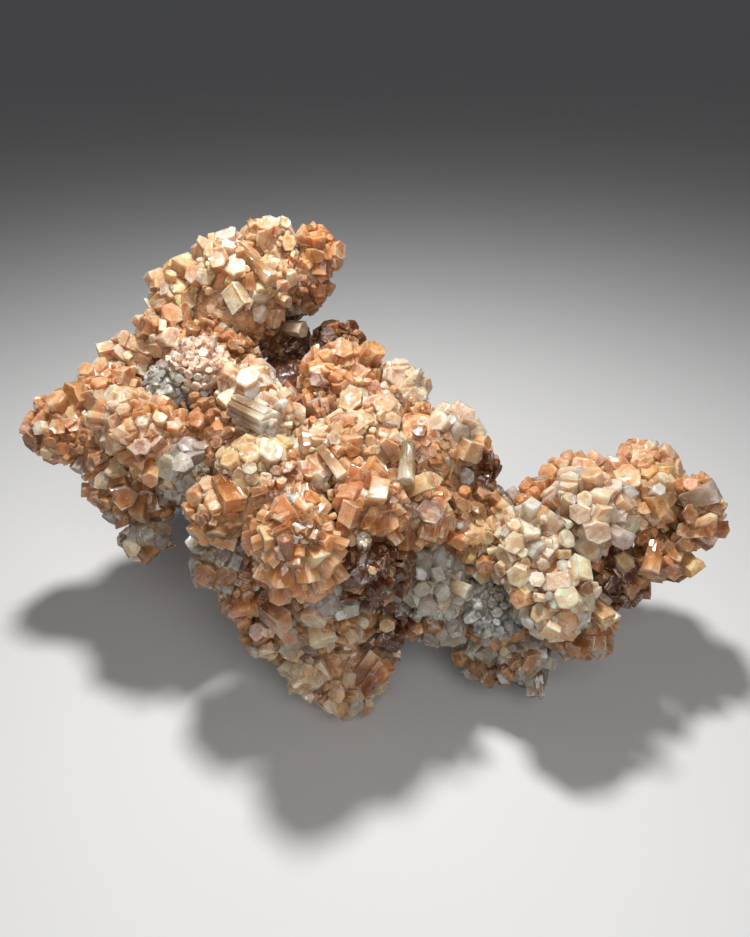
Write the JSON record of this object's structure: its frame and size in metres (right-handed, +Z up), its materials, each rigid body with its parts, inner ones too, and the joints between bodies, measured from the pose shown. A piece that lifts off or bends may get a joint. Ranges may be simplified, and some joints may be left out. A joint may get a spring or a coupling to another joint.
{
  "type": "aragonite crystal cluster",
  "caption": "Branching mineral cluster of orange to cream six-sided prisms with flat ends, grown as one piece and standing on crystal ends.",
  "frame": {"origin": "middle of the footprint, on the surface that the cluster stands on", "axes": "+Z up as it stands, +X along the longest side from the left lobe to the right lobe, +Y from the front to the back"},
  "size_m": [0.1381, 0.0915, 0.0807],
  "materials": {
    "aragonite": "translucent, vitreous on the crystal ends, orange to cream with grey roots"
  },
  "bodies": {
    "root": {"aragonite_cluster": "aragonite"}
  },
  "joints": []
}
